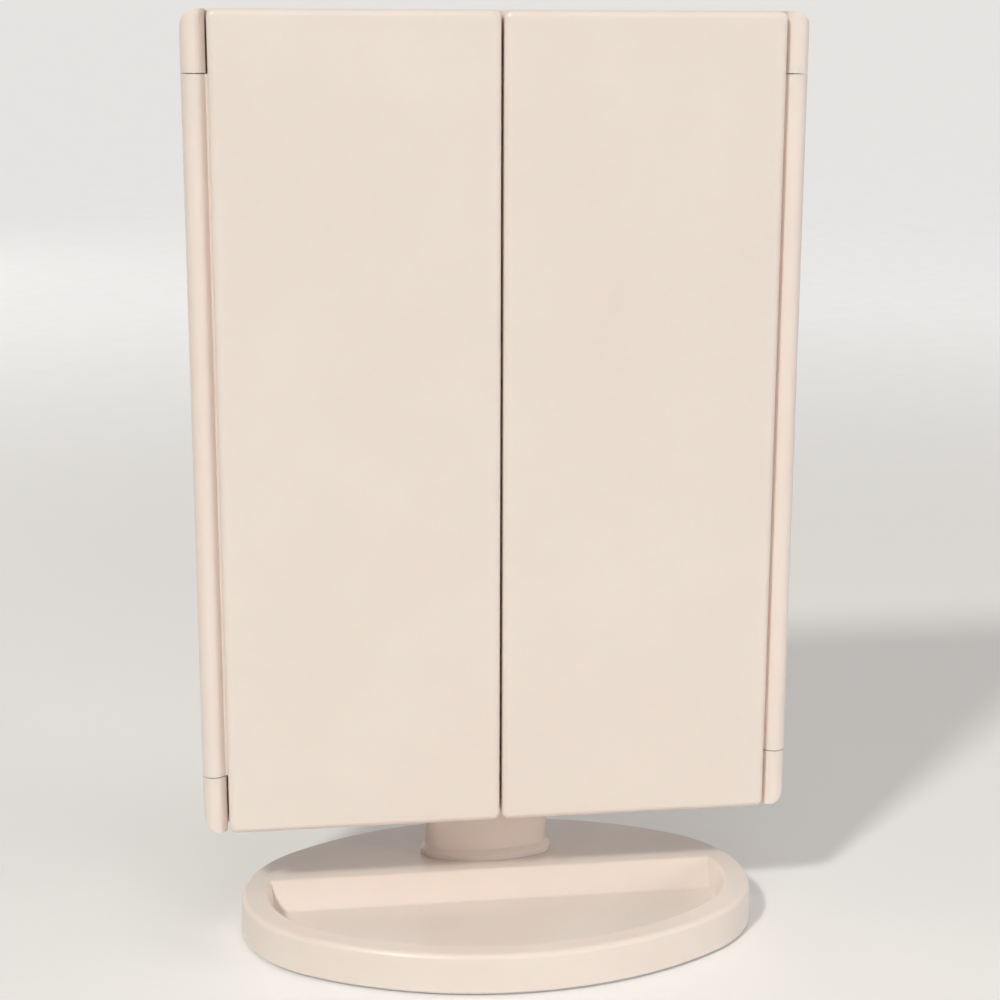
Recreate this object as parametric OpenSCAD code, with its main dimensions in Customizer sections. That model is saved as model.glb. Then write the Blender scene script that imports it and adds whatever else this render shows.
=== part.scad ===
// Trifold vanity mirror on an oval base with a tray.
// Millimetres. +Z is up, -Y faces the user. The origin is the centre of the base, on the table.
// The head's parts are drawn in the head's own place: x across, y behind the closed wings'
// front plane, z above the head's lower edge.

/* [Base] */
// Width of the oval base
base_w = 164; // [156:1:180]
// Depth of the base, front to back
base_d = 114; // [108:1:124]
// Radius of the oval's two ends
base_end_r = 44.5; // [42:0.5:50]
// Height of the base's flat top above the table
base_h = 13; // [12:0.5:16]
// Wall of the base moulding
base_wall = 2; // [1.6:0.1:2.2]
// Rounding of the base's upper edge
base_edge_r = 1.6; // [1:0.1:2]
// How far the base's outer wall leans out towards the table
base_draft = 0.5; // [0:0.1:0.8]
// Thickness of the flat cover under the base
bottom_t = 1.6; // [1.2:0.1:1.8]
// Height of the rubber feet
foot_h = 1; // [0.8:0.1:1.4]
// Radius of the rubber feet
foot_r = 6; // [4:0.5:7]

/* [Tray] */
// Width of the rim between the base's edge and the tray
tray_rim = 8.5; // [8:0.1:11]
// Height of the tray's floor above the table
tray_floor = 4.4; // [4.4:0.1:6]
// Distance of the tray's straight edge behind the base's centre
tray_back = 10.7; // [4:0.1:12]
// How far the tray's straight back wall leans
tray_back_lean = 6; // [3:0.1:8]
// How far the tray's curved wall leans
tray_side_lean = 2.4; // [1:0.1:3]
// Rounding at the tray's mouth and at its foot
tray_r = 1.4; // [0.8:0.1:2]

/* [Column] */
// Width of the oval column
column_w = 40.6; // [38:0.1:46]
// Depth of the column
column_d = 19; // [18:0.1:21]
// Radius of the column's two sides
column_end_r = 6.5; // [5.5:0.1:8]
// Distance of the column's axis behind the base's centre
column_back = 28.3; // [26:0.1:30]
// Wall of the hollow column
column_wall = 2.5; // [2:0.1:3]
// How far the column's foot flares out
flare_out = 1.3; // [0.8:0.1:2]
// Height of the flared foot
flare_h = 3.4; // [2.5:0.1:5]
// Width of the column's round top between the two ears
knob_w = 30; // [26:0.5:31]

/* [Tilt hinge] */
// Height of the tilt axis above the head's lower edge
pivot_up = 15.6; // [15:0.1:20]
// Radius of the tilt bolt
bolt_r = 2.5; // [2:0.1:3]
// Thickness of the ears that hold the bolt
ear_t = 6.5; // [6:0.1:8]
// Radius of the ears
ear_r = 9; // [8:0.1:9.4]
// Thickness of the friction washers
washer_t = 0.6; // [0.4:0.1:1]
// Clear gap between the column and the head's rear face
column_gap = 3.5; // [3:0.1:6]

/* [Head] */
// Width of the closed head
head_w = 185; // [175:1:205]
// Height of the head
head_h = 248; // [235:1:280]
// Clear height between the base's top and the head
under_head = 23.4; // [22:0.1:30]
// Radius of the head's four corners
corner_r = 5.5; // [5:0.5:9]

/* [Wings] */
// Thickness of a wing
wing_t = 10.5; // [10:0.1:12]
// Thickness of a wing's outer moulding
wing_shell_t = 7.5; // [7.2:0.1:8]
// Gap between the two closed wings
seam = 0.8; // [0.6:0.1:1.5]
// Gap between the closed wings and the centre panel
closed_gap = 0.7; // [0.5:0.1:1.2]
// Wall of the wings' mouldings
wing_wall = 1.8; // [1.4:0.1:2]
// Rounding of the wings' edges
plate_edge_r = 2; // [1:0.1:2.2]
// Width of the frame round the wings' mirrors
bezel_w = 4; // [3:0.1:6]
// Height of the bar between the left wing's two mirrors
bar_h = 5; // [4:0.5:8]

/* [Wing hinges] */
// Radius of the hinge barrels and knuckles
barrel_r = 3.6; // [3.2:0.1:4]
// Distance of the barrels' front behind the wings' front
barrel_recess = 1.9; // [1.7:0.1:2.1]
// Height of the fixed knuckles at the head's corners
knuckle_h = 17.9; // [16:0.1:24]
// Slot between a knuckle and the wing's plate
knuckle_slot = 0.4; // [0.4:0.1:0.8]
// Radius of the hinge pins
pin_r = 1; // [0.8:0.1:1.3]
// Length of the hinge pins
pin_l = 24; // [22:1:28]

/* [Centre panel] */
// Thickness of the centre frame
frame_t = 4; // [3.6:0.1:5]
// Depth of the rear cover
cover_depth = 7.5; // [7.2:0.1:9]
// Wall of the rear cover
casing_wall = 1.8; // [1.6:0.1:2]
// Rounding of the rear cover's edges
rear_edge_r = 3; // [2:0.1:4]
// Thickness of all mirror panes
pane_t = 2; // [1.8:0.1:2.2]
// How far a frame's lip laps over its pane
lip_w = 1.2; // [1:0.1:1.5]
// Thickness of the frames' lips
lip_t = 0.6; // [0.5:0.1:0.8]
// Width of the frosted light guide round the centre pane
guide_w = 10; // [9:0.5:12]
// Lamps on each side strip
side_lamps = 8; // [5:1:10]
// Lamps on the top strip
top_lamps = 5; // [3:1:9]

/* [Batteries] */
// Radius of a battery cell
cell_r = 5.25; // [5.25:0.05:5.6]
// Length of a battery cell
cell_l = 44.5; // [43:0.5:46]
// Number of cells, side by side
cells = 4; // [3:1:4]
// Height of the battery box's lower edge above the head's lower edge
box_up = 40; // [38:1:60]
// Thickness of the battery door
door_t = 1.6; // [1.4:0.1:2]

/* [Switch and inlet] */
// Distance of the slide switch and the inlet from the head's side
switch_in = 42.5; // [36.5:1:46.5]
// Height of the slide switch above the head's lower edge
switch_up = 46; // [42:1:54]
// Travel of the slide switch
switch_travel = 4; // [3:0.5:4]

/* [Hidden] */
$fn = 96;

// Colours
blush = [0.93, 0.87, 0.81];
silver = [0.84, 0.87, 0.9];
steel = [0.68, 0.68, 0.7];
brass = [0.8, 0.68, 0.4];
black = [0.12, 0.12, 0.13];
frosted = [0.96, 0.96, 0.94];
board_green = [0.12, 0.38, 0.24];
lamp_yellow = [0.97, 0.88, 0.55];
cell_grey = [0.35, 0.36, 0.4];

// Clearances
cut = 1;             // how far a cutter runs past a face
lap = 0.05;          // how far the pieces of one solid reach into each other
skim = 0.02;         // how far a cutter's flat face stays off the face it would lie in
seat_gap = 0.1;      // between parts that rest on each other
fit_gap = 0.15;      // round a part that drops into a pocket
run_gap = 0.05;      // radial, round a shaft that turns
tight_gap = 0.02;    // radial, round a shaft that doesn't
knuckle_gap = 0.3;   // between a knuckle's end and the barrel's
screw_gap = 0.05;    // radial, round a screw's shank

// Base
shell_low = foot_h - 0.2;
bottom_top = foot_h + bottom_t;
plateau_low = base_h - base_wall;
oval_band = 20;                    // width of the swept edge, over a plain core
oval_lap = 2;                      // how far the core reaches under that edge
tray_wall = 1.7;                   // between the tray and the hollow round it
cover_gap = 0.3;
boss_r = 3.4;
base_screw_r = 1.25;
base_bosses = [[0.27, 0.33], [0.40, 0.19]];   // as shares of the base's width and depth
foot_places = [[0.31, 0.24], [0.31, -0.26]];

// Column and tilt hinge
column_foot = base_h - 1;          // the foot stands 1 mm deep in the base
pad_low = plateau_low - 2.2;       // thick pad under the column
neck_screw_x = 10.5;
neck_screw_r = 1.6;
neck_screw_up = 15;                // how far the screws reach into the column
shoulder_drop = ear_r + 2.5;       // below the axis, where the column steps in
ear_x0 = knob_w / 2 + washer_t + 2 * run_gap;
ear_x1 = ear_x0 + ear_t;
bolt_head_r = 4.4;
bolt_head_t = 2.6;
cap_t = 0.8;
ear_pocket_r = bolt_head_r + 1;
ear_pocket_x = ear_x1 - bolt_head_t - cap_t;

// Head, seen from the closed wings' front plane back
case_front = wing_t + closed_gap;
case_split = case_front + frame_t;
case_rear = case_split + cover_depth;
wall_front = case_rear - casing_wall;        // inner face of the rear cover
head_z = base_h + under_head;
front_y = column_back - column_d / 2 - column_gap - case_rear;
pivot_back = column_back - front_y;
pivot_z = head_z + pivot_up;

// Wings and their hinges
hinge_x = head_w / 2 - barrel_r;
hinge_back = barrel_recess + barrel_r;
plate_x0 = seam / 2;
plate_x1 = head_w / 2 - 2 * barrel_r - knuckle_slot;
web_front = hinge_back - barrel_r + 2;
plate_r = plate_edge_r + 0.3;                // the plates' corners, seen from the front
frame_edge_r = 0.8;
pane_back = wing_t - lip_t;                  // the panes' mirrored face, under the lip
rib_t = 1.2;
pin_end = 5;                                 // material left over the pins' outer ends
full_window = [bezel_w, head_h - bezel_w];
upper_window = [head_h / 2 + bar_h / 2, head_h - bezel_w];
lower_window = [bezel_w, head_h / 2 - bar_h / 2];

// Centre panel
window_x = plate_x1 - 5.8;
window_z = 7;
centre_face = case_front + lip_t + 0.2;      // front of the centre pane
guide_t = pane_t + 0.2;
strip_w = guide_w - 2;
strip_t = 1;
lamp_w = 3;
lamp_t = 0.9;
strip_front = centre_face + guide_t + lamp_t + 0.3;
strip_x = window_x + lip_w - guide_w / 2;
strip_z = head_h - window_z + lip_w - guide_w / 2;
strip_low = 20;
casing_screw_x = window_x + lip_w + 6;
casing_screw_z = [9, head_h / 2, head_h - 9];
casing_screw_r = 1.4;
screw_head_r = 2.7;
screw_head_t = 1.5;

// Batteries
cell_pitch = 2 * cell_r + 0.7;
contact_room = 4.5;
pocket_w = cells * cell_pitch + 1.2;
pocket_l = cell_l + 2 * contact_room;
pocket_wall = 1.8;
pocket_front = case_split + 2.7;
cell_back = pocket_front + 0.2 + cell_r;
door_front = cell_back + cell_r + 0.3;
box_rear = door_front + seat_gap + door_t;
door_lap = 1.6;
box_x = pocket_w / 2 + pocket_wall + door_lap;
box_low = box_up;
box_high = box_up + pocket_l + 2 * (pocket_wall + door_lap);
pocket_low = box_up + pocket_wall + door_lap;

// Board, inlet and switch
board_t = 1.2;
board_front = case_split + 3;
board_room = 3.2;                            // between the board and the rib beside it
board_x = [box_x + board_room, strip_x - rib_t / 2 - board_room];
board_z = [4, 58];
switch_x = head_w / 2 - switch_in;
socket_w = 7.6;
socket_t = 2.8;
socket_l = 6;
socket_low = 0.6;
switch_l = 12;
switch_h = 5;
switch_t = wall_front - board_front - board_t - seat_gap;
knob_l = 4;
knob_h = 3;
knob_out = 1.5;                              // how far the knob stands out of the rear cover

// ---------- Outlines ----------

// Points of corner b between its neighbours a and c, rounded to radius r
function round_corner(a, b, c, r, steps = 8) =
    let (
        u = (a - b) / norm(a - b),
        v = (c - b) / norm(c - b),
        half = acos(u * v) / 2,
        centre = b + (u + v) / norm(u + v) * r / sin(half),
        p = b + u * r / tan(half) - centre,
        q = b + v * r / tan(half) - centre,
        from = atan2(p.y, p.x),
        raw = atan2(q.y, q.x) - from,
        turn = raw > 180 ? raw - 360 : raw < -180 ? raw + 360 : raw
    )
    [for (i = [0:steps]) centre + r * [cos(from + turn * i / steps), sin(from + turn * i / steps)]];

// An outline from corners given as [x, y, radius]
function rounded(corners) =
    let (n = len(corners))
    [for (i = [0:n - 1])
        let (
            a = corners[(i + n - 1) % n],
            b = corners[i],
            c = corners[(i + 1) % n]
        )
        each b.z == 0 ? [[b.x, b.y]] : round_corner([a.x, a.y], [b.x, b.y], [c.x, c.y], b.z)];

// Radius of a four-arc oval's front and back arcs
function oval_side_r(w, d, end_r) =
    let (c = w / 2 - end_r, b = d / 2)
    (c * c + b * b - end_r * end_r) / (2 * (b - end_r));

// Angle at which the oval's arcs meet, seen from the centre of an end arc
function oval_meet(w, d, end_r) =
    atan2(oval_side_r(w, d, end_r) - d / 2, w / 2 - end_r);

// ---------- Shared solids ----------

// Four-arc oval, standing from z0 to z1
module oval(w, d, end_r, z0, z1) {
    c = w / 2 - end_r;
    side_r = oval_side_r(w, d, end_r);
    meet_x = c + end_r * cos(oval_meet(w, d, end_r));
    translate([0, 0, z0]) {
        intersection() {
            translate([-meet_x, -d, 0])
                cube([2 * meet_x, 2 * d, z1 - z0]);
            translate([0, d / 2 - side_r, 0])
                cylinder(r = side_r, h = z1 - z0);
            translate([0, side_r - d / 2, 0])
                cylinder(r = side_r, h = z1 - z0);
        }
        for (s = [-1, 1])
            translate([s * c, 0, 0])
                cylinder(r = end_r, h = z1 - z0);
    }
}

// Sweeps a profile round that oval: x outward from the outline, y up
module oval_edge(w, d, end_r) {
    side_r = oval_side_r(w, d, end_r);
    for (turn = [0, 180])
        rotate(turn) {
            intersection() {
                translate([w / 2 - end_r, 0, 0])
                    rotate(180)
                        rotate_extrude()
                            translate([end_r, 0])
                                children();
                oval_end(w, d, end_r);
            }
            difference() {
                translate([0, d / 2 - side_r, 0])
                    rotate(-90)
                        rotate_extrude()
                            translate([side_r, 0])
                                children();
                both_sides()
                    oval_end(w, d, end_r);
                block([-2 * side_r, 2 * side_r], [-2 * side_r, 0], [-w, w]);
            }
        }
}

// The space in which the end arc is swept, between the planes where it meets the side arcs
module oval_end(w, d, end_r) {
    reach = 4;
    end_x = w / 2 - end_r;
    side_y = reach * (oval_side_r(w, d, end_r) - d / 2);
    translate([0, 0, -w])
        linear_extrude(2 * w)
            polygon([[end_x, 0], [(1 + reach) * end_x, side_y], [(1 + reach) * end_x, -side_y]]);
}

// The base's oval, drawn in by inset
module base_oval(inset, z0, z1)
    oval(base_w - 2 * inset, base_d - 2 * inset, base_end_r - inset, z0, z1);

// A solid with the base's oval outline and a profile of its own, over a plain core
module base_form(core_low, core_high) {
    oval_edge(base_w, base_d, base_end_r)
        children();
    base_oval(oval_band - oval_lap, core_low, core_high);
}

// A slab in the front view, with corner radius r; its front edges are rounded to front_r,
// its rear edges to rear_r
module slab(x, z, y, r, front_r = 0, rear_r = 0) {
    inner = lap - r;
    profile = rounded([[inner, y[0], 0], [0, y[0], front_r], [0, y[1], rear_r], [inner, y[1], 0]]);
    for (c = [[x[1] - r, z[1] - r, 0], [x[0] + r, z[1] - r, 90],
              [x[0] + r, z[0] + r, 180], [x[1] - r, z[0] + r, 270]])
        rotate([90, 0, 0])
            translate([c.x, c.y, 0])
                rotate(c.z)
                    rotate_extrude(angle = 90)
                        translate([r, 0])
                            mirror([0, 1])
                                polygon(profile);
    for (s = [0, 1]) {
        translate([x[s], 0, z[0] + r])
            mirror([1 - s, 0, 0])
                linear_extrude(z[1] - z[0] - 2 * r)
                    polygon(profile);
        translate([x[1] - r, 0, z[s]])
            mirror([0, 0, 1 - s])
                rotate([0, -90, 0])
                    linear_extrude(x[1] - x[0] - 2 * r)
                        polygon(profile);
    }
    block([x[0] + r - 2 * lap, x[1] - r + 2 * lap], y, [z[0] + r - 2 * lap, z[1] - r + 2 * lap]);
}

// A plain block between two corners
module block(x, y, z)
    translate([x[0], y[0], z[0]])
        cube([x[1] - x[0], y[1] - y[0], z[1] - z[0]]);

// An outline in the side view, y and z, between two x
module side_view(x)
    translate([x[0], 0, 0])
        rotate([90, 0, 90])
            linear_extrude(x[1] - x[0])
                children();

// A rod along X, along Y or along Z, from its first to its last coordinate
module rod_x(x, y, z, r)
    translate([x[0], y, z])
        rotate([0, 90, 0])
            cylinder(r = r, h = x[1] - x[0]);
module rod_y(x, y, z, r)
    translate([x, y[1], z])
        rotate([90, 0, 0])
            cylinder(r = r, h = y[1] - y[0]);
module rod_z(x, y, z, r)
    translate([x, y, z[0]])
        cylinder(r = r, h = z[1] - z[0]);

// A cross-slotted screw: its head's outer face at z = 0, its shank up to z = reach
module screw(head_r, head_t, shank_r, reach) {
    slot_w = head_r * 0.3;
    slot_l = head_r * 1.2;
    difference() {
        union() {
            cylinder(r = head_r, h = head_t);
            cylinder(r = shank_r, h = reach);
        }
        for (turn = [0, 90])
            rotate(turn)
                translate([-slot_l / 2, -slot_w / 2, -cut])
                    cube([slot_l, slot_w, cut + head_t / 2]);
    }
}

module in_head()
    translate([0, front_y, head_z])
        children();

module left_side()
    mirror([1, 0, 0])
        children();

// Puts its children, drawn at x > 0, on both sides
module both_sides() {
    children();
    mirror([1, 0, 0])
        children();
}

// ---------- Base ----------

module base_screw_places()
    both_sides()
        for (place = base_bosses)
            translate([place.x * base_w, place.y * base_d, 0])
                children();

module neck_screw_places()
    for (s = [-1, 1])
        translate([s * neck_screw_x, column_back, 0])
            children();

// Space in front of the tray's leaning back wall
module tray_front() {
    wall_low = tray_back - tray_back_lean;
    side_view([-base_w, base_w])
        polygon(rounded([
            [-base_d, tray_floor - skim, 0], [wall_low, tray_floor - skim, tray_r],
            [tray_back, base_h, tray_r], [tray_back + 2 * tray_r, base_h + skim, 0],
            [tray_back + 2 * tray_r, base_h + 2 * cut, 0], [-base_d, base_h + 2 * cut, 0]
        ]));
}

module tray_pocket()
    intersection() {
        base_form(tray_floor, base_h + cut)
            polygon(rounded([
                [-oval_band, tray_floor, 0],
                [-tray_rim - tray_side_lean, tray_floor, tray_r],
                [-tray_rim, base_h, tray_r],
                [-tray_rim + 2 * tray_r, base_h + skim, 0],
                [-tray_rim + 2 * tray_r, base_h + cut, 0],
                [-oval_band, base_h + cut, 0]
            ]));
        tray_front();
    }

// The hollow under the flat top, and the narrow one inside the rim
module base_hollow() {
    ring_w = tray_rim - tray_wall;
    back_y = tray_back + tray_wall + 0.6;
    base_oval(base_wall + base_draft, shell_low - cut, bottom_top + seat_gap);
    intersection() {
        base_oval(base_wall + base_draft, bottom_top, plateau_low);
        union() {
            block([-base_w, base_w], [back_y, base_d], [bottom_top, plateau_low]);
            difference() {
                block([-base_w, base_w], [-base_d, back_y + cut], [bottom_top, plateau_low]);
                base_oval(ring_w, bottom_top - cut, plateau_low + cut);
            }
        }
    }
}

module base_shell()
    color(blush)
        difference() {
            union() {
                difference() {
                    base_form(shell_low, base_h)
                        polygon(rounded([
                            [-oval_band, shell_low, 0], [0, shell_low, base_edge_r / 2],
                            [-base_draft, base_h, base_edge_r], [-oval_band, base_h, 0]
                        ]));
                    base_hollow();
                    tray_pocket();
                }
                base_screw_places()
                    rod_z(0, 0, [bottom_top + seat_gap, plateau_low + cut / 2], boss_r);
                translate([0, column_back, 0])
                    oval(column_w + 4, column_d + 4, column_end_r + 2, pad_low, plateau_low + cut / 2);
            }
            base_screw_places()
                rod_z(0, 0, [bottom_top, plateau_low - cut / 2], base_screw_r + screw_gap);
            translate([0, column_back, 0])
                oval(column_w + 2 * fit_gap, column_d + 2 * fit_gap, column_end_r + fit_gap,
                     column_foot, base_h + cut);
            neck_screw_places()
                rod_z(0, 0, [pad_low - cut, base_h], neck_screw_r + screw_gap);
        }

module base_cover()
    color(blush)
        difference() {
            base_oval(base_wall + base_draft + cover_gap, foot_h, bottom_top);
            base_screw_places()
                rod_z(0, 0, [0, base_h], base_screw_r + screw_gap);
        }

module base_feet()
    color(black)
        both_sides()
            for (place = foot_places)
                translate([place.x * base_w, place.y * base_d, 0])
                    cylinder(r = foot_r, h = foot_h);

module base_screws()
    color(steel)
        base_screw_places()
            translate([0, 0, 0.25])
                screw(2 * base_screw_r, foot_h - 0.25, base_screw_r, plateau_low - 1 - 0.25);

// ---------- Column ----------

// The column up to its shoulder, with its flared foot standing on the base's flat top
module column_shaft(shoulder) {
    band = column_end_r - 1.5;
    oval_edge(column_w, column_d, column_end_r)
        polygon(rounded([
            [-band, column_foot, 0], [0, column_foot, 0], [0, base_h, 0], [flare_out, base_h, 0],
            [flare_out, base_h + flare_h / 2, flare_out / 3], [0, base_h + flare_h, 0],
            [0, shoulder, 0.8], [-band, shoulder, 0]
        ]));
    oval(column_w - 2 * band + 2, column_d - 2 * band + 2, column_end_r - band + 1,
         column_foot, shoulder);
}

// Its round top, between the ears
module column_knob(low)
    intersection() {
        oval(column_w, column_d, column_end_r, low, pivot_z + column_d);
        union() {
            block([-knob_w / 2, knob_w / 2], [-column_d, column_d], [low, pivot_z]);
            rod_x([-knob_w / 2, knob_w / 2], 0, pivot_z, column_d / 2);
        }
    }

module neck_column() {
    shoulder = pivot_z - shoulder_drop;
    hollow_top = shoulder - column_wall;
    color(blush)
        translate([0, column_back, 0])
            difference() {
                union() {
                    difference() {
                        column_shaft(shoulder);
                        oval(column_w - 2 * column_wall, column_d - 2 * column_wall,
                             column_end_r - column_wall, column_foot - cut, hollow_top);
                    }
                    for (s = [-1, 1])
                        rod_z(s * neck_screw_x, 0, [column_foot, hollow_top + cut],
                              neck_screw_r + 2);
                    column_knob(shoulder - cut);
                }
                for (s = [-1, 1])
                    rod_z(s * neck_screw_x, 0, [column_foot - cut, base_h + neck_screw_up + 1],
                          neck_screw_r + screw_gap);
                rod_x([-knob_w, knob_w], 0, pivot_z, bolt_r + run_gap);
            }
}

module neck_screws() {
    head_t = 2;
    color(steel)
        neck_screw_places()
            translate([0, 0, pad_low - head_t])
                screw(1.9 * neck_screw_r, head_t, neck_screw_r,
                      base_h + neck_screw_up - pad_low + head_t);
}

// ---------- Tilt hinge ----------

module at_pivot()
    translate([0, column_back, pivot_z])
        children();

module tilt_axle()
    color(steel)
        at_pivot() {
            rod_x([-ear_x1 + cap_t + 0.4, ear_pocket_x + cut / 2], 0, 0, bolt_r);
            rod_x([ear_pocket_x, ear_pocket_x + bolt_head_t], 0, 0, bolt_head_r);
        }

module tilt_nut()
    color(steel)
        at_pivot()
            difference() {
                translate([-ear_pocket_x - bolt_head_t, 0, 0])
                    rotate([0, 90, 0])
                        cylinder(r = bolt_head_r, h = bolt_head_t, $fn = 6);
                rod_x([-ear_x1, 0], 0, 0, bolt_r + tight_gap);
            }

module tilt_caps()
    color(blush)
        at_pivot()
            both_sides()
                translate([ear_x1 - cap_t + 0.1, 0, 0])
                    rotate([0, 90, 0])
                        rotate_extrude()
                            polygon(rounded([
                                [0, 0, 0], [ear_pocket_r - fit_gap, 0, 0],
                                [ear_pocket_r - fit_gap, cap_t + 0.4, 0.5], [0, cap_t + 0.4, 0]
                            ]));

module friction_washers()
    color(black)
        at_pivot()
            both_sides()
                difference() {
                    rod_x([knob_w / 2 + run_gap, knob_w / 2 + run_gap + washer_t], 0, 0,
                          column_d / 3);
                    rod_x([0, knob_w], 0, 0, bolt_r + run_gap);
                }

// ---------- Centre panel ----------

// The knuckles and everything else stay inside the head's rounded outline
module head_outline(y)
    slab([-head_w / 2, head_w / 2], [0, head_h], y, corner_r);

// A knuckle between two heights, on the right side
module knuckle(z) {
    rod_z(hinge_x, hinge_back, z, barrel_r);
    block([hinge_x - barrel_r, head_w / 2], [hinge_back, case_front + frame_t / 2], z);
}

// The pins' bores or the pins themselves, on the right side; at the lower and the upper end
module pin_places(r, grow = 0)
    for (low = [pin_end, head_h - pin_end - pin_l])
        rod_z(hinge_x, hinge_back, [low - grow, low + pin_l + grow], r);

module casing_screw_places()
    for (s = [-1, 1])
        for (z = casing_screw_z)
            translate([s * casing_screw_x, 0, z])
                children();

// The window that the centre frame leaves open, grown by more
module centre_window(more, y)
    block([-window_x - more, window_x + more], y, [window_z - more, head_h - window_z + more]);

module centre_frame()
    color(blush)
        in_head()
            difference() {
                union() {
                    slab([-head_w / 2, head_w / 2], [0, head_h], [case_front, case_split],
                         corner_r, 0.6);
                    intersection() {
                        head_outline([0, case_split]);
                        both_sides()
                            for (z = [[0, knuckle_h], [head_h - knuckle_h, head_h]])
                                knuckle(z);
                    }
                }
                centre_window(0, [case_front - cut, case_split + cut]);
                centre_window(lip_w + fit_gap, [centre_face - seat_gap, case_split + cut]);
                both_sides()
                    pin_places(pin_r + tight_gap, seat_gap);
                casing_screw_places()
                    rod_y(0, [case_front + lip_t, case_split + cut], 0,
                          casing_screw_r + screw_gap);
            }

module centre_mirror()
    color(silver)
        in_head()
            slab([-window_x - lip_w + guide_w, window_x + lip_w - guide_w],
                 [window_z - lip_w, head_h - window_z + lip_w - guide_w],
                 [centre_face, centre_face + pane_t], 1);

module light_diffuser()
    color(frosted)
        in_head()
            difference() {
                slab([-window_x - lip_w, window_x + lip_w],
                     [window_z - lip_w, head_h - window_z + lip_w],
                     [centre_face, centre_face + guide_t], 1);
                block([-window_x - lip_w + guide_w - fit_gap, window_x + lip_w - guide_w + fit_gap],
                      [centre_face - cut, centre_face + guide_t + cut],
                      [-cut, head_h - window_z + lip_w - guide_w + fit_gap]);
            }

// Heights of the side strips' lamps and places of the top strip's, all on the strips' front
side_lamp_z = [for (i = [0:side_lamps - 1])
    strip_low + 8 + i * (strip_z - strip_w - strip_low - 18) / (side_lamps - 1)];
top_lamp_x = [for (i = [0:top_lamps - 1])
    (i / (top_lamps - 1) - 0.5) * 2 * (strip_x - strip_w - 8)];

module lamp_places() {
    for (z = side_lamp_z, s = [-1, 1])
        translate([s * strip_x, strip_front, z])
            children();
    for (x = top_lamp_x)
        translate([x, strip_front, strip_z])
            children();
}

module led_boards()
    color(board_green)
        in_head() {
            both_sides()
                block([strip_x - strip_w / 2, strip_x + strip_w / 2],
                      [strip_front, strip_front + strip_t],
                      [strip_low, strip_z - strip_w / 2 - 1]);
            block([-strip_x, strip_x], [strip_front, strip_front + strip_t],
                  [strip_z - strip_w / 2, strip_z + strip_w / 2]);
        }

module led_chips()
    color(lamp_yellow)
        in_head()
            lamp_places()
                block([-lamp_w / 2, lamp_w / 2], [-lamp_t, 0], [-lamp_w / 2, lamp_w / 2]);

module touch_sensor()
    color(board_green)
        in_head()
            block([-8, 8], [centre_face + pane_t + 0.02, centre_face + pane_t + 0.8], [10, 22]);

// Round pads on the rear cover that stand under a flat part
module rear_pad(x, z, front, r)
    rod_y(x, [front, wall_front + cut / 2], z, r);

module rear_cover() {
    mirror_back = centre_face + pane_t + seat_gap;
    color(blush)
        in_head()
            difference() {
                union() {
                    difference() {
                        slab([-head_w / 2, head_w / 2], [0, head_h], [case_split, case_rear],
                             corner_r, 0, rear_edge_r);
                        slab([-head_w / 2 + casing_wall, head_w / 2 - casing_wall],
                             [casing_wall, head_h - casing_wall],
                             [case_split - cut, wall_front], corner_r - casing_wall, 0, 1);
                    }
                    battery_box();
                    casing_screw_places()
                        rear_pad(0, 0, case_split, screw_head_r + 1.5);
                    // ribs behind the lamp strips
                    both_sides()
                        block([strip_x - rib_t / 2, strip_x + rib_t / 2],
                              [strip_front + strip_t + seat_gap, wall_front + cut / 2],
                              [strip_low, strip_z]);
                    block([-strip_x, strip_x], [strip_front + strip_t + seat_gap, wall_front + cut / 2],
                          [strip_z - rib_t / 2, strip_z + rib_t / 2]);
                    // ribs that carry the centre pane
                    for (z = [box_high + 20, box_high + 75])
                        block([-strip_x + strip_w, strip_x - strip_w],
                              [mirror_back, wall_front + cut / 2], [z, z + rib_t]);
                    // pads under the board
                    for (x = [board_x[0] + 3, board_x[1] - 3], z = [board_z[0] + 4, board_z[1] - 4])
                        rear_pad(x, z, board_front + board_t + 0.02, 2.4);
                    both_sides()
                        tilt_ear();
                }
                battery_pocket();
                casing_screw_places() {
                    rod_y(0, [case_split - cut, case_rear], 0, casing_screw_r + screw_gap);
                    rod_y(0, [case_rear - screw_head_t - 0.2, case_rear + cut], 0,
                          screw_head_r + 0.2);
                }
                rod_x([-ear_x1 - cut, ear_x1 + cut], pivot_back, pivot_up, bolt_r + tight_gap);
                both_sides()
                    rod_x([ear_pocket_x - tight_gap, ear_x1 + cut], pivot_back, pivot_up,
                          ear_pocket_r);
                usb_notch();
                switch_slot();
            }
}

// An ear for the tilt bolt, with a gusset up the casing's back; on the right side
module tilt_ear() {
    root = wall_front + casing_wall / 2;
    gusset = 11;
    reach = pivot_back - root;
    rise = ear_r + gusset;
    // where a line from the gusset's foot touches the ear's round end
    touch = 180 - atan2(rise, reach) - acos(ear_r / norm([rise, reach]));
    side_view([ear_x0, ear_x1])
        polygon([
            [root, pivot_up - ear_r], [pivot_back, pivot_up - ear_r], [pivot_back, pivot_up],
            [pivot_back + ear_r * cos(touch), pivot_up + ear_r * sin(touch)],
            [root, pivot_up + rise]
        ]);
    rod_x([ear_x0, ear_x1], pivot_back, pivot_up, ear_r);
}

module usb_notch()
    block([switch_x - socket_w / 2 - fit_gap, switch_x + socket_w / 2 + fit_gap],
          [case_split - cut, board_front + fit_gap], [-cut, casing_wall + cut]);

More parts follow.
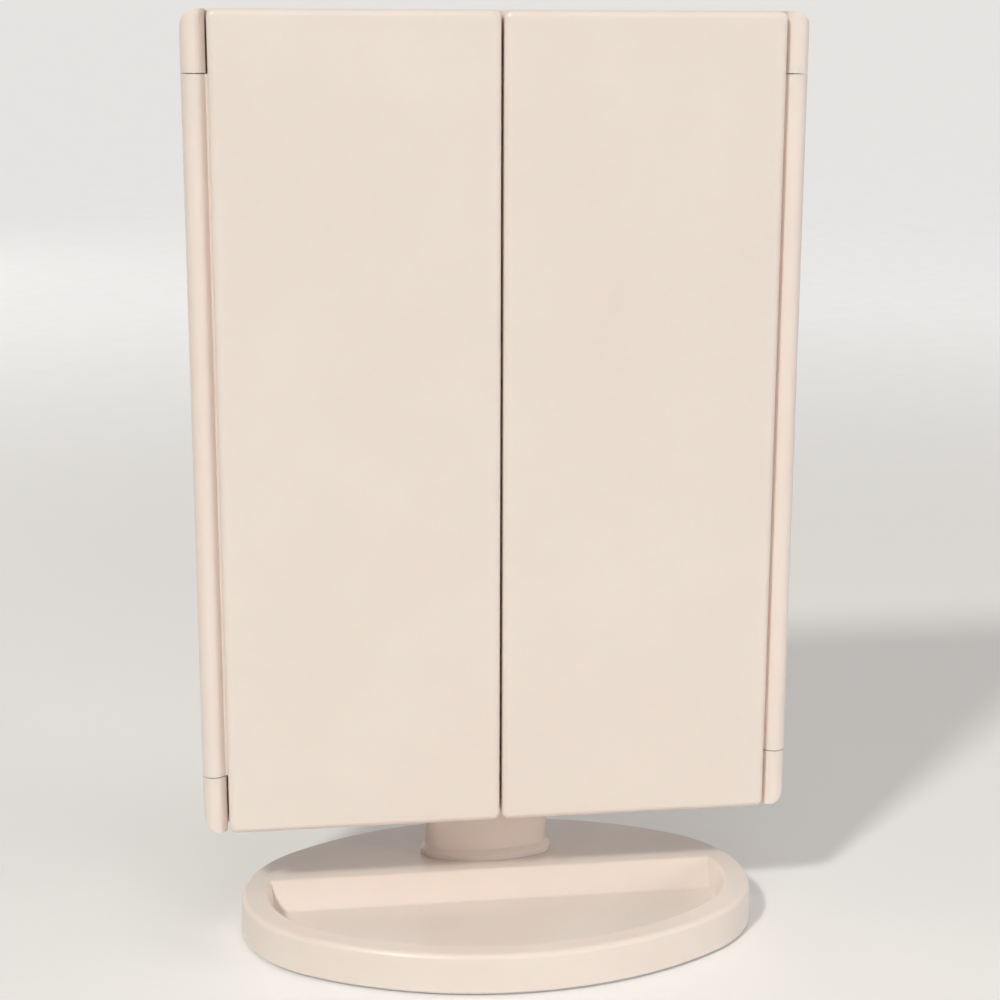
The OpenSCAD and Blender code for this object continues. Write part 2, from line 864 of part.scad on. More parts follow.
// The switch's slot, in a shallow dish that a fingertip reaches into
module switch_slot() {
    travel_x = [switch_x - switch_travel / 2 - knob_l / 2, switch_x + switch_travel / 2 + knob_l / 2];
    block([travel_x[0] - 0.3, travel_x[1] + 0.3], [wall_front - cut, case_rear + cut],
          [switch_up - knob_h / 2 - 0.3, switch_up + knob_h / 2 + 0.3]);
    slab([travel_x[0] - 3, travel_x[1] + 3], [switch_up - knob_h / 2 - 3, switch_up + knob_h / 2 + 3],
         [case_rear - 0.6, case_rear + cut], 3);
}

// ---------- Battery box ----------

module battery_box()
    slab([-box_x, box_x], [box_low, box_high], [pocket_front - 1.2, box_rear], 4, 0, 2);

module battery_pocket() {
    block([-pocket_w / 2, pocket_w / 2], [pocket_front, box_rear + cut],
          [pocket_low, pocket_low + pocket_l]);
    slab([-pocket_w / 2 - door_lap, pocket_w / 2 + door_lap],
         [pocket_low - door_lap, pocket_low + pocket_l + door_lap],
         [door_front, box_rear + cut], 2);
}

module cell_places()
    for (i = [0:cells - 1])
        translate([(i - (cells - 1) / 2) * cell_pitch, cell_back, pocket_low + pocket_l / 2])
            mirror([0, 0, i % 2])
                children();

module batteries() {
    nub_r = 1.9;
    nub_h = 1;
    color(cell_grey)
        in_head()
            cell_places()
                rotate_extrude()
                    polygon(rounded([
                        [0, -cell_l / 2, 0], [cell_r, -cell_l / 2, 0.4],
                        [cell_r, cell_l / 2 - nub_h, 0.4], [nub_r, cell_l / 2 - nub_h, 0],
                        [nub_r, cell_l / 2, 0], [0, cell_l / 2, 0]
                    ]));
}

// At each cell a flat plate against its nub and a stepped spring against its other end
module battery_contacts() {
    plate_t = 0.5;
    half_w = 0.76 * cell_r;
    wire_r = 0.55;
    end = pocket_l / 2 - 0.05;
    color(brass)
        in_head()
            cell_places() {
                block([-half_w, half_w], [-half_w, half_w], [end - plate_t, end]);
                rod_z(0, 0, [cell_l / 2 + 0.05, end - plate_t / 2], 1.6);
                block([-half_w, half_w], [-half_w, half_w], [-end, -end + plate_t]);
                translate([0, 0, -end + plate_t])
                    rotate_extrude()
                        for (i = [0:3])
                            translate([3.4 - 0.45 * i, wire_r * 0.8 + 0.9 * i])
                                circle(r = wire_r);
            }
}

module battery_door() {
    x1 = pocket_w / 2 + door_lap - fit_gap;
    z = [pocket_low - door_lap + fit_gap, pocket_low + pocket_l + door_lap - fit_gap];
    tab_x = 0.37 * x1;
    tab_l = 0.18 * pocket_l;
    slot_w = 1;
    color(blush)
        in_head()
            difference() {
                union() {
                    slab([-x1, x1], z, [door_front + seat_gap, box_rear], 1.8, 0, 0.5);
                    // grip ridges
                    for (i = [0:3])
                        rod_x([2 - tab_x, tab_x - 2], box_rear - 0.1, z[1] - 6 - 2 * i, 0.5);
                }
                // slots beside the spring tab at the upper edge
                for (s = [-1, 1])
                    block([s * tab_x - slot_w / 2, s * tab_x + slot_w / 2],
                          [door_front - cut, box_rear + cut], [z[1] - tab_l, z[1] + cut]);
            }
}

// ---------- Board, inlet, switch and wires ----------

module control_board()
    color(board_green)
        in_head()
            block(board_x, [board_front, board_front + board_t], board_z);

module board_parts() {
    parts = [[8, 30, 7, 7], [20, 34, 5, 4], [30, 20, 6, 3], [8, 14, 4, 6], [32, 42, 4, 4]];
    part_t = 1.1;
    color(black)
        in_head() {
            for (p = parts)
                block([board_x[0] + p[0] - p[2] / 2, board_x[0] + p[0] + p[2] / 2],
                      [board_front - part_t, board_front],
                      [board_z[0] + p[1] - p[3] / 2, board_z[0] + p[1] + p[3] / 2]);
            rod_y(board_x[0] + 20, [board_front - 2, board_front], board_z[0] + 22, 3);
        }
}

module usb_socket() {
    skin = 0.35;
    x = [switch_x - socket_w / 2, switch_x + socket_w / 2];
    y = [board_front - socket_t, board_front - 0.02];
    color(steel)
        in_head()
            difference() {
                block(x, y, [socket_low, socket_low + socket_l]);
                block([x[0] + skin, x[1] - skin], [y[0] + skin, y[1] - skin],
                      [socket_low - cut, socket_low + socket_l - 1]);
            }
}

module switch_body()
    color(black)
        in_head()
            difference() {
                block([switch_x - switch_l / 2, switch_x + switch_l / 2],
                      [board_front + board_t, board_front + board_t + switch_t],
                      [switch_up - switch_h / 2, switch_up + switch_h / 2]);
                block([switch_x - switch_travel / 2 - knob_l / 2 - 0.3,
                       switch_x + switch_travel / 2 + knob_l / 2 + 0.3],
                      [board_front + board_t + switch_t - 0.8, wall_front + cut],
                      [switch_up - knob_h / 2 - 0.3, switch_up + knob_h / 2 + 0.3]);
            }

// At rest the knob stands at the off end of its travel
module switch_knob() {
    x = [switch_x - switch_travel / 2 - knob_l / 2, switch_x - switch_travel / 2 + knob_l / 2];
    z = [switch_up - knob_h / 2, switch_up + knob_h / 2];
    low = board_front + board_t + switch_t - 0.7;
    color(black)
        in_head() {
            block(x, [low, case_rear + knob_out], z);
            for (i = [-1:1])
                rod_z((x[0] + x[1]) / 2 + i * 1.2, case_rear + knob_out, z, 0.4);
        }
}

// A wire along straight runs between points, with a small block that holds it at each bend
module wire(points, r = 0.6) {
    for (i = [0:len(points) - 2]) {
        run = points[i + 1] - points[i];
        translate(points[i])
            rotate([0, acos(run.z / norm(run)), atan2(run.y, run.x)])
                cylinder(r = r, h = norm(run));
    }
    for (i = [1:len(points) - 2])
        translate(points[i])
            cube(3 * r, center = true);
}

module light_wires() {
    level = wall_front - 1.2;                  // just in front of the rear cover's inner face
    low = box_low - 4;
    color(black)
        in_head() {
            // to the left strip, under the battery box
            wire([[board_x[0] - 0.2, board_front + 0.6, low], [board_x[0] - 2, level, low],
                  [-strip_x + 6, level, low], [-strip_x + 6, level, low + 6],
                  [-strip_x + strip_w / 2 + 0.7, strip_front + strip_t / 2, low + 8]]);
            // to the right strip
            wire([[board_x[1] - 4, board_front + 0.5, board_z[1] + 0.7],
                  [board_x[1] - 4, level, board_z[1] + 4],
                  [strip_x - 6, level, board_z[1] + 6],
                  [strip_x - strip_w / 2 - 0.7, strip_front + strip_t / 2, board_z[1] + 8]]);
            // from the battery box
            wire([[box_x + 0.7, level - 0.4, box_low + 8], [box_x + 2, level - 0.4, box_low + 8],
                  [board_x[0] - 0.7, board_front + 0.6, box_low + 6]]);
            // to the touch sensor
            wire([[8.7, centre_face + pane_t + 1, 16], [12, level, 16],
                  [board_x[0] - 2, level, 14], [board_x[0] - 0.7, board_front + 0.6, 14]]);
        }
}

module casing_screws()
    color(steel)
        in_head()
            casing_screw_places()
                translate([0, case_rear - 0.2, 0])
                    rotate([90, 0, 0])
                        screw(screw_head_r, screw_head_t, casing_screw_r,
                              case_rear - 0.2 - case_front - 2 * lip_t);

// ---------- Wings, drawn on the right side ----------

module wing_shell()
    in_head() {
        barrel_z = [knuckle_h + knuckle_gap, head_h - knuckle_h - knuckle_gap];
        inner_x = [plate_x0 + wing_wall, plate_x1 - wing_wall];
        difference() {
            union() {
                difference() {
                    slab([plate_x0, plate_x1], [0, head_h], [0, wing_shell_t],
                         plate_r, plate_edge_r);
                    block(inner_x, [wing_wall, wing_shell_t + cut],
                          [wing_wall, head_h - wing_wall]);
                }
                block([plate_x1 - cut, hinge_x], [web_front, wing_shell_t], barrel_z);
                rod_z(hinge_x, hinge_back, barrel_z, barrel_r);
                wing_ribs(inner_x);
            }
            pin_places(pin_r + run_gap, 1);
        }
    }

// Ribs that stiffen the plate; the level ones stand up between the frame's sides and carry the panes
module wing_ribs(x) {
    rib_y = [wing_wall / 2, wing_shell_t - seat_gap];
    for (i = [1, 2, 4, 5]) {
        z = [i * head_h / 6 - rib_t / 2, i * head_h / 6 + rib_t / 2];
        block([x[0] - wing_wall / 2, x[1] + wing_wall / 2], rib_y, z);
        block([plate_x0 + bezel_w, plate_x1 - bezel_w],
              [rib_y[0], pane_back - pane_t - seat_gap], z);
    }
    block([(x[0] + x[1] - rib_t) / 2, (x[0] + x[1] + rib_t) / 2], rib_y,
          [wing_wall / 2, head_h - wing_wall / 2]);
}

// A mirror window between two heights, grown by more
module wing_window(z, more, y)
    block([plate_x0 + bezel_w - more, plate_x1 - bezel_w + more], y, [z[0] - more, z[1] + more]);

module wing_frame(windows)
    in_head()
        difference() {
            slab([plate_x0, plate_x1], [0, head_h], [wing_shell_t + 0.02, wing_t],
                 plate_r, 0, frame_edge_r);
            for (z = windows) {
                wing_window(z, 0, [wing_shell_t - cut, wing_t + cut]);
                wing_window(z, lip_w + fit_gap, [wing_shell_t - cut, pane_back + tight_gap]);
            }
        }

module wing_pane(z)
    color(silver)
        in_head()
            wing_window(z, lip_w, [pane_back - pane_t, pane_back]);

module right_wing_shell()
    color(blush)
        wing_shell();
module right_wing_frame()
    color(blush)
        wing_frame([full_window]);
module right_mirror()
    wing_pane(full_window);
module right_hinge_pins()
    color(steel)
        in_head()
            pin_places(pin_r);

module left_wing_shell()
    color(blush)
        left_side()
            wing_shell();
module left_wing_frame()
    color(blush)
        left_side()
            wing_frame([upper_window, lower_window]);
module left_mirror_upper()
    left_side()
        wing_pane(upper_window);
module left_mirror_lower()
    left_side()
        wing_pane(lower_window);
module left_hinge_pins()
    color(steel)
        left_side()
            in_head()
                pin_places(pin_r);

base_shell();
base_cover();
base_feet();
base_screws();
neck_column();
neck_screws();
tilt_axle();
friction_washers();
tilt_nut();
tilt_caps();
centre_frame();
rear_cover();
casing_screws();
centre_mirror();
light_diffuser();
led_boards();
led_chips();
control_board();
board_parts();
touch_sensor();
light_wires();
usb_socket();
switch_body();
switch_knob();
batteries();
battery_contacts();
battery_door();
left_wing_shell();
left_wing_frame();
left_mirror_upper();
left_mirror_lower();
left_hinge_pins();
right_wing_shell();
right_wing_frame();
right_mirror();
right_hinge_pins();
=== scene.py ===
"""A trifold vanity mirror on an oval base with a tray, in soft studio light.

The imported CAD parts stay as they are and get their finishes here. The screws, the battery
springs, the lamps and the feet are made in full by geometry nodes, and stand in for their
plain CAD solids. Lengths are in metres; x goes right, y to the back and z up.
"""
import math

import bmesh
import bpy
from mathutils import Matrix, Vector


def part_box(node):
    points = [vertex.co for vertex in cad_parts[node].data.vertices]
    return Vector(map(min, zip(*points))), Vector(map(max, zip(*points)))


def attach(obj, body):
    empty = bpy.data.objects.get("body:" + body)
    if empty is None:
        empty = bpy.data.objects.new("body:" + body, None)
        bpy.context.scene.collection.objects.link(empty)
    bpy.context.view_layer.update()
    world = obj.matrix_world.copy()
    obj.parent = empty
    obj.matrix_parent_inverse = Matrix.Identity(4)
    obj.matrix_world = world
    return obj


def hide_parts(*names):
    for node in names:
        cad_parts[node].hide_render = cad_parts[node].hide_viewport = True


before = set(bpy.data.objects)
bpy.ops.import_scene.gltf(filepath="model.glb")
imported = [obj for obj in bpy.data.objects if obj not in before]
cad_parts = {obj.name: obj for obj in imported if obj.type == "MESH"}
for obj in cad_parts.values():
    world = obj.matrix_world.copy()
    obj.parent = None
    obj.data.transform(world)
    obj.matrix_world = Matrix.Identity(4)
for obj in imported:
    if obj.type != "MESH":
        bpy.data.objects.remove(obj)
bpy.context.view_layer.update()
MM = 0.001


# ---------- Camera ----------

def add_camera():
    """The photographed viewpoint: a little to the left of the mirror and above its middle. Its
    angles, place, focal length and optical centre fit the mirror's outlines in the photo."""
    yaw, pitch, roll = math.radians(9.03), math.radians(13.93), math.radians(0.26)
    place = (-0.0964, -0.6403, 0.2826)
    photo_px, focal_px, centre_px = 1000, 2159.1, (515.8, 551.6)

    forward = Vector((math.sin(yaw) * math.cos(pitch), math.cos(yaw) * math.cos(pitch),
                      -math.sin(pitch)))
    level = Vector((math.cos(yaw), -math.sin(yaw), 0))
    above = level.cross(forward)
    right = level * math.cos(roll) + above * math.sin(roll)
    up = above * math.cos(roll) - level * math.sin(roll)

    data = bpy.data.cameras.new("camera")
    data.sensor_width = 36
    data.lens = focal_px / photo_px * data.sensor_width
    data.shift_x = (photo_px / 2 - centre_px[0]) / photo_px
    data.shift_y = (centre_px[1] - photo_px / 2) / photo_px
    camera = bpy.data.objects.new("camera", data)
    turn = Matrix((right, up, -forward)).transposed().to_4x4()
    camera.matrix_world = Matrix.Translation(place) @ turn
    bpy.context.scene.collection.objects.link(camera)
    bpy.context.scene.camera = camera


# ---------- Node trees ----------

class NodeTree:
    """A node tree under construction, for a material or for geometry."""

    def __init__(self, tree):
        self.tree = tree

    def add(self, kind, wires=None, out=0, **settings):
        """An output of a new node. wires gives its inputs, by name or number, a socket, a list
        of sockets or a plain value; settings are the node's own properties."""
        node = self.tree.nodes.new(kind)
        for key, value in settings.items():
            setattr(node, key, value)
        for key, source in (wires or {}).items():
            if isinstance(source, bpy.types.NodeSocket):
                self.tree.links.new(source, node.inputs[key])
            elif isinstance(source, list):
                for each in source:
                    self.tree.links.new(each, node.inputs[key])
            else:
                node.inputs[key].default_value = source
        return node.outputs[out]

    def calc(self, operation, a, b=0.0):
        return self.add("ShaderNodeMath", {0: a, 1: b}, operation=operation)

    def times(self, a, b):
        return self.calc("MULTIPLY", a, b)

    def plus(self, a, b):
        return self.calc("ADD", a, b)

    def minus(self, a, b):
        return self.calc("SUBTRACT", a, b)

    def ramp(self, value, start, end, low=0.0, high=1.0, curve="SMOOTHSTEP"):
        """A number that goes from low to high as value goes from start to end."""
        return self.add("ShaderNodeMapRange",
                        {"Value": value, "From Min": start, "From Max": end, "To Min": low,
                         "To Max": high}, interpolation_type=curve)


# ---------- Finishes ----------

class Finish(NodeTree):
    """A material under construction: a Principled shader and the patterns that feed it. A
    pattern is noise, and nearly all of it lies between PATTERN_LOW and PATTERN_HIGH."""

    PATTERN_LOW, PATTERN_HIGH = 0.3, 0.7

    def __init__(self, name, **values):
        self.material = bpy.data.materials.new(name)
        self.material.use_nodes = True
        super().__init__(self.material.node_tree)
        self.shader = self.tree.nodes["Principled BSDF"]
        self.place = self.add("ShaderNodeTexCoord", out="Object")
        for socket, value in values.items():
            self.shader.inputs[socket.replace("_", " ")].default_value = value

    def feed(self, **sources):
        """Links each source to the shader's input of that name."""
        for socket, source in sources.items():
            self.tree.links.new(source, self.shader.inputs[socket.replace("_", " ")])

    def noise(self, scale, detail=3.0, rough=0.5, stretch=None):
        """A pattern with scale lumps per metre, times stretch along each axis."""
        place = self.place
        if stretch:
            place = self.add("ShaderNodeMapping", {"Vector": place, "Scale": stretch})
        return self.add("ShaderNodeTexNoise", {"Vector": place, "Scale": scale,
                                               "Detail": detail, "Roughness": rough}, "Fac")

    def spread(self, pattern, low, high):
        """A number from low to high, as the pattern goes."""
        return self.ramp(pattern, self.PATTERN_LOW, self.PATTERN_HIGH, low, high, "LINEAR")

    def tones(self, factor, *stops):
        """A colour ramp through stops of (position, (r, g, b))."""
        colour = self.add("ShaderNodeValToRGB", {"Fac": factor})
        elements = colour.node.color_ramp.elements
        while len(elements) < len(stops):
            elements.new(0.5)
        for element, (position, tone) in zip(elements, stops):
            element.position = position
            element.color = (*tone, 1)
        return colour

    def shades(self, pattern, deep, light):
        """A colour from deep to light, as the pattern goes."""
        return self.tones(pattern, (self.PATTERN_LOW, deep), (self.PATTERN_HIGH, light))

    def blend(self, factor, first, second):
        """The first colour where factor is 0 and the second where it is 1. The node has a
        numbered set of sockets for each kind of value, and these are the ones for colours."""
        return self.add("ShaderNodeMix", {"Factor": factor, 6: first, 7: second}, 2,
                        data_type="RGBA")

    def bump(self, *layers):
        """Bumps laid over each other, as pairs of (pattern, depth)."""
        normal = None
        for pattern, depth in layers:
            wires = {"Strength": 1.0, "Distance": depth, "Height": pattern}
            if normal:
                wires["Normal"] = normal
            normal = self.add("ShaderNodeBump", wires)
        self.feed(Normal=normal)


def pale_floor():
    """Pale paper. Away from the mirror it gives less light back, and there the camera and the
    mirror panes see it lifted towards white instead."""
    near_tone, far_tone = (0.80, 0.79, 0.78), (0.16, 0.157, 0.154)
    near_lift, far_lift = 0.17, 0.70
    near_ends, far_begins = 0.3, 1.6
    finish = Finish("pale_floor", Emission_Color=(1.0, 0.985, 0.97, 1))
    distance = finish.add("ShaderNodeVectorMath", {0: finish.place}, "Value",
                          operation="LENGTH")
    far = finish.ramp(distance, near_ends, far_begins)
    lift = finish.ramp(far, 0.0, 1.0, near_lift, far_lift, "LINEAR")
    rays = finish.add("ShaderNodeLightPath").node.outputs
    seen = finish.calc("MAXIMUM", rays["Is Camera Ray"], rays["Is Glossy Ray"])
    seen = finish.calc("MAXIMUM", seen, rays["Is Transmission Ray"])
    finish.feed(Base_Color=finish.tones(far, (0.0, near_tone), (1.0, far_tone)),
                Roughness=finish.spread(finish.noise(40), 0.7, 0.85),
                Emission_Strength=finish.times(seen, lift))
    return finish.material


def blush_plastic(name, light, deep, gloss):
    """Satin blush-cream moulding: soft flow clouds, faint ripple and fine grain."""
    finish = Finish(name, Subsurface_Weight=0.25, Subsurface_Scale=0.005,
                    Subsurface_Radius=(1.0, 0.45, 0.35), Coat_Weight=0.25,
                    Coat_Roughness=0.18, IOR=1.49)
    clouds = finish.noise(22, 4.0, 0.55)
    ripple = finish.noise(60, 2.0)
    grain = finish.noise(2600, 2.0, 0.6)
    finish.feed(Base_Color=finish.tones(clouds, (0.32, deep), (0.68, light)),
                Roughness=finish.spread(finish.noise(140), gloss - 0.05, gloss + 0.05))
    finish.bump((ripple, 0.08 * MM), (grain, 0.006 * MM))
    return finish.material


def mirror_glass(name, key=None):
    """Silvered pane: bright faces with a faint haze, and a green-grey ground edge. Round key,
    the middle of the touch key, the silver is etched away in a thin ring."""
    finish = Finish(name, Metallic=1.0)
    normal = finish.add("ShaderNodeTexCoord", out="Normal")
    flat = finish.calc("ABSOLUTE", finish.add("ShaderNodeSeparateXYZ", {0: normal}, "Y"))
    haze = finish.noise(35, 4.0, 0.6)
    silver = finish.shades(haze, (0.862, 0.882, 0.882), (0.88, 0.897, 0.897))
    edge = finish.shades(finish.noise(900, 2.0), (0.25, 0.38, 0.34), (0.36, 0.50, 0.45))
    shade = finish.blend(flat, edge, silver)
    if key:
        ring_in, ring_out, fade, reach = 3.4, 4.0, 0.05, 10.0    # mm from the middle
        bare, silvered = (0, 0, 0), (1, 1, 1)
        away = finish.add("ShaderNodeVectorMath", {0: finish.place, 1: key}, "Value",
                          operation="DISTANCE")
        silver_left = finish.tones(
            finish.times(away, 1 / (reach * MM)), (0.0, silvered),
            (ring_in / reach, silvered), ((ring_in + fade) / reach, bare),
            ((ring_out - fade) / reach, bare), (ring_out / reach, silvered), (1.0, silvered))
        shade = finish.blend(silver_left, (0.80, 0.81, 0.79, 1), shade)
        finish.feed(Metallic=silver_left)
    ground_edge = finish.ramp(flat, 0.0, 1.0, 0.35, 0.0, "LINEAR")
    finish.feed(Base_Color=shade,
                Roughness=finish.plus(ground_edge, finish.spread(haze, 0.005, 0.014)))
    return finish.material


def frosted_guide(name):
    """Milky moulding with a fine etched stipple."""
    finish = Finish(name, Subsurface_Weight=0.6, Subsurface_Scale=0.006,
                    Subsurface_Radius=(1.0, 0.98, 0.95), IOR=1.49)
    stipple = finish.noise(3200, 1.0)
    finish.feed(Base_Color=finish.shades(finish.noise(30), (0.86, 0.855, 0.83),
                                         (0.91, 0.91, 0.89)),
                Roughness=finish.spread(stipple, 0.42, 0.58))
    finish.bump((stipple, 0.02 * MM))
    return finish.material


def plain_steel(name, tone, rough):
    """Zinc-plated steel with fine drawing marks."""
    finish = Finish(name, Metallic=1.0)
    marks = finish.noise(900, 4.0, 0.65, (1, 1, 0.15))
    finish.feed(Base_Color=finish.shades(marks, tuple(0.86 * t for t in tone), tone),
                Roughness=finish.spread(marks, rough - 0.08, rough + 0.1))
    finish.bump((marks, 0.01 * MM))
    return finish.material


def dull_black(name, tone, rough, grain_depth):
    """Black rubber or moulding with a fine spark texture."""
    finish = Finish(name)
    grain = finish.noise(2200, 3.0, 0.6)
    finish.feed(Base_Color=finish.shades(finish.noise(90), tuple(0.8 * t for t in tone), tone),
                Roughness=finish.spread(grain, rough - 0.08, rough + 0.08))
    finish.bump((grain, grain_depth))
    return finish.material


def circuit_board():
    """Lacquered board with a faint weave under the lacquer."""
    finish = Finish("circuit_board", Coat_Weight=0.6, Coat_Roughness=0.15)
    weave = finish.noise(1500, 2.0, 0.5, (1, 1, 3))
    finish.feed(Base_Color=finish.shades(weave, (0.02, 0.14, 0.06), (0.04, 0.21, 0.09)),
                Roughness=finish.spread(weave, 0.3, 0.45))
    finish.bump((weave, 0.01 * MM))
    return finish.material


def lamp_resin():
    """Clear resin over the yellow phosphor of the lamps."""
    finish = Finish("lamp_resin", Coat_Weight=0.8, Coat_Roughness=0.1, Subsurface_Weight=0.2,
                    Subsurface_Scale=0.001)
    finish.feed(Base_Color=finish.shades(finish.noise(700, 2.0), (0.86, 0.66, 0.16),
                                         (0.93, 0.78, 0.3)),
                Roughness=finish.spread(finish.noise(1200, 2.0), 0.2, 0.32))
    return finish.material


def spring_brass():
    """Brass with a little tarnish."""
    finish = Finish("spring_brass", Metallic=1.0)
    tarnish = finish.noise(400, 4.0, 0.6)
    finish.feed(Base_Color=finish.shades(tarnish, (0.60, 0.45, 0.20), (0.80, 0.64, 0.34)),
                Roughness=finish.spread(tarnish, 0.22, 0.4))
    finish.bump((finish.noise(2500, 2.0), 0.008 * MM))
    return finish.material


def cell_sleeve():
    """Plain shrink sleeve of a battery: grey, with a copper band at the lower end."""
    copper, lower_grey, upper_grey = (0.55, 0.33, 0.16), (0.12, 0.13, 0.15), (0.16, 0.17, 0.19)
    finish = Finish("cell_sleeve", Coat_Weight=0.5, Coat_Roughness=0.12)
    low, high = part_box("batteries")
    height = finish.add("ShaderNodeSeparateXYZ", {0: finish.place}, "Z")
    along = finish.ramp(height, low.z, high.z, curve="LINEAR")
    finish.feed(Base_Color=finish.tones(along, (0.0, copper), (0.22, copper),
                                        (0.225, lower_grey), (1.0, upper_grey)),
                Roughness=finish.spread(finish.noise(300), 0.25, 0.38))
    finish.bump((finish.noise(500, 2.0), 0.02 * MM))
    return finish.material


def make_finishes():
    """Each finish by a short name, which NODE_FINISH and the grown pieces use."""
    low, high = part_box("touch_sensor")
    touch_key = ((low.x + high.x) / 2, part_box("centre_mirror")[0].y, (low.z + high.z) / 2)
    return {
        "outer": blush_plastic("blush_plastic", (0.88, 0.772, 0.715), (0.85, 0.737, 0.68),
                               0.34),
        "inner": blush_plastic("blush_plastic_inside", (0.80, 0.69, 0.63),
                               (0.765, 0.65, 0.59), 0.45),
        "glass": mirror_glass("mirror_glass"),
        "centre_glass": mirror_glass("centre_glass", touch_key),
        "guide": frosted_guide("frosted_guide"),
        "steel": plain_steel("zinc_steel", (0.62, 0.62, 0.64), 0.32),
        "rubber": dull_black("foot_rubber", (0.035, 0.035, 0.036), 0.72, 0.04 * MM),
        "washer": dull_black("washer_nylon", (0.05, 0.05, 0.052), 0.45, 0.01 * MM),
        "board": circuit_board(),
        "lamp": lamp_resin(),
        "lamp_case": frosted_guide("lamp_case"),
        "black": dull_black("black_moulding", (0.03, 0.03, 0.032), 0.42, 0.015 * MM),
        "cell": cell_sleeve(),
        "brass": spring_brass(),
    }


NODE_FINISH = {
    "outer": ("base_shell", "neck_column", "tilt_caps", "centre_frame",
              "rear_cover", "battery_door", "left_wing_shell", "left_wing_frame",
              "right_wing_shell", "right_wing_frame"),
    "inner": ("base_cover",),
    "centre_glass": ("centre_mirror",),
    "glass": ("left_mirror_upper", "left_mirror_lower", "right_mirror"),
    "guide": ("light_diffuser",),
    "steel": ("base_screws", "neck_screws", "tilt_axle", "tilt_nut", "casing_screws",
              "left_hinge_pins", "right_hinge_pins", "usb_socket"),
    "rubber": ("base_feet",),
    "washer": ("friction_washers",),
    "board": ("led_boards", "control_board", "touch_sensor"),
    "lamp": ("led_chips",),
    "black": ("board_parts", "switch_body", "switch_knob", "light_wires"),
    "cell": ("batteries",),
    "brass": ("battery_contacts",),
}


def finish_nodes():
    """Puts each CAD node in its finish."""
    for key, names in NODE_FINISH.items():
        for name in names:
            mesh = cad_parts[name].data
            mesh.materials.clear()
            mesh.materials.append(FINISHES[key])


# ---------- Stage and light ----------

def add_stage():
    """A round pale floor that curves up into a wall all the way round."""
    flat_r, bend_r, wall_top = 2.2, 0.8, 2.6
    bend_steps, turns = 8, 64
    profile = [(0.0, 0.0), (0.6, 0.0), (1.4, 0.0), (flat_r, 0.0)]
    for step in range(1, bend_steps + 1):
        a = math.radians(90 * step / bend_steps)
        profile.append((flat_r + bend_r * math.sin(a), bend_r - bend_r * math.cos(a)))
    profile += [(flat_r + bend_r, 2 * bend_r), (flat_r + bend_r, wall_top)]

    verts = [(0, 0, 0)]
    for r, z in profile[1:]:
        verts += [(r * math.cos(math.tau * k / turns), r * math.sin(math.tau * k / turns), z)
                  for k in range(turns)]
    faces = [(0, 1 + k, 1 + (k + 1) % turns) for k in range(turns)]
    for ring in range(len(profile) - 2):
        a, b = 1 + ring * turns, 1 + (ring + 1) * turns
        faces += [(a + k, b + k, b + (k + 1) % turns, a + (k + 1) % turns)
                  for k in range(turns)]
    mesh = bpy.data.meshes.new("floor")
    mesh.from_pydata(verts, [], faces)
    mesh.shade_smooth()
    floor = bpy.data.objects.new("floor", mesh)
    bpy.context.scene.collection.objects.link(floor)
    mesh.materials.append(pale_floor())


def add_studio_light(name, place, aim, width, watts, colour, reflected):
    """A round soft light, which shows in the mirror panes only where reflected is set."""
    data = bpy.data.lights.new(name, "AREA")
    data.shape = "DISK"
    data.size = width
    data.energy = watts
    data.color = colour
    light = bpy.data.objects.new(name, data)
    light.matrix_world = Matrix.Translation(place) @ (
        Vector(aim) - Vector(place)).to_track_quat("-Z", "Y").to_matrix().to_4x4()
    light.visible_camera = False
    light.visible_glossy = reflected
    bpy.context.scene.collection.objects.link(light)


def add_lights():
    """A key from the upper left, as the photographed shadows say, and weak broad fills from
    above, the right, the front and behind; the studio's own light does the rest."""
    middle = (0, 0, 0.12)
    lights = (
        # name, place, width, watts, colour, whether the panes reflect it
        ("key", (-1.71, -2.23, 2.38), 0.4, 71, (1.0, 1.0, 0.925), True),
        ("top_fill", (0.1, -0.9, 2.2), 1.0, 6, (1.0, 0.97, 0.95), False),
        ("right_fill", (1.73, -1.0, 0.5), 0.8, 12, (1.0, 0.975, 0.95), False),
        ("front_fill", (0.25, -2.0, 0.4), 0.6, 3.5, (1.0, 0.96, 0.93), False),
        ("rear_fill", (-0.9, 2.0, 0.42), 0.6, 9, (1.0, 0.985, 0.965), False),
    )
    for name, place, width, watts, colour, reflected in lights:
        add_studio_light(name, place, middle, width, watts, colour, reflected)
    world = bpy.data.worlds.new("studio")
    world.use_nodes = True
    background = world.node_tree.nodes["Background"]
    background.inputs["Color"].default_value = (1.0, 0.945, 0.90, 1)
    background.inputs["Strength"].default_value = 0.29
    bpy.context.scene.world = world


# ---------- Screws, springs, lamps and feet, made by geometry nodes ----------

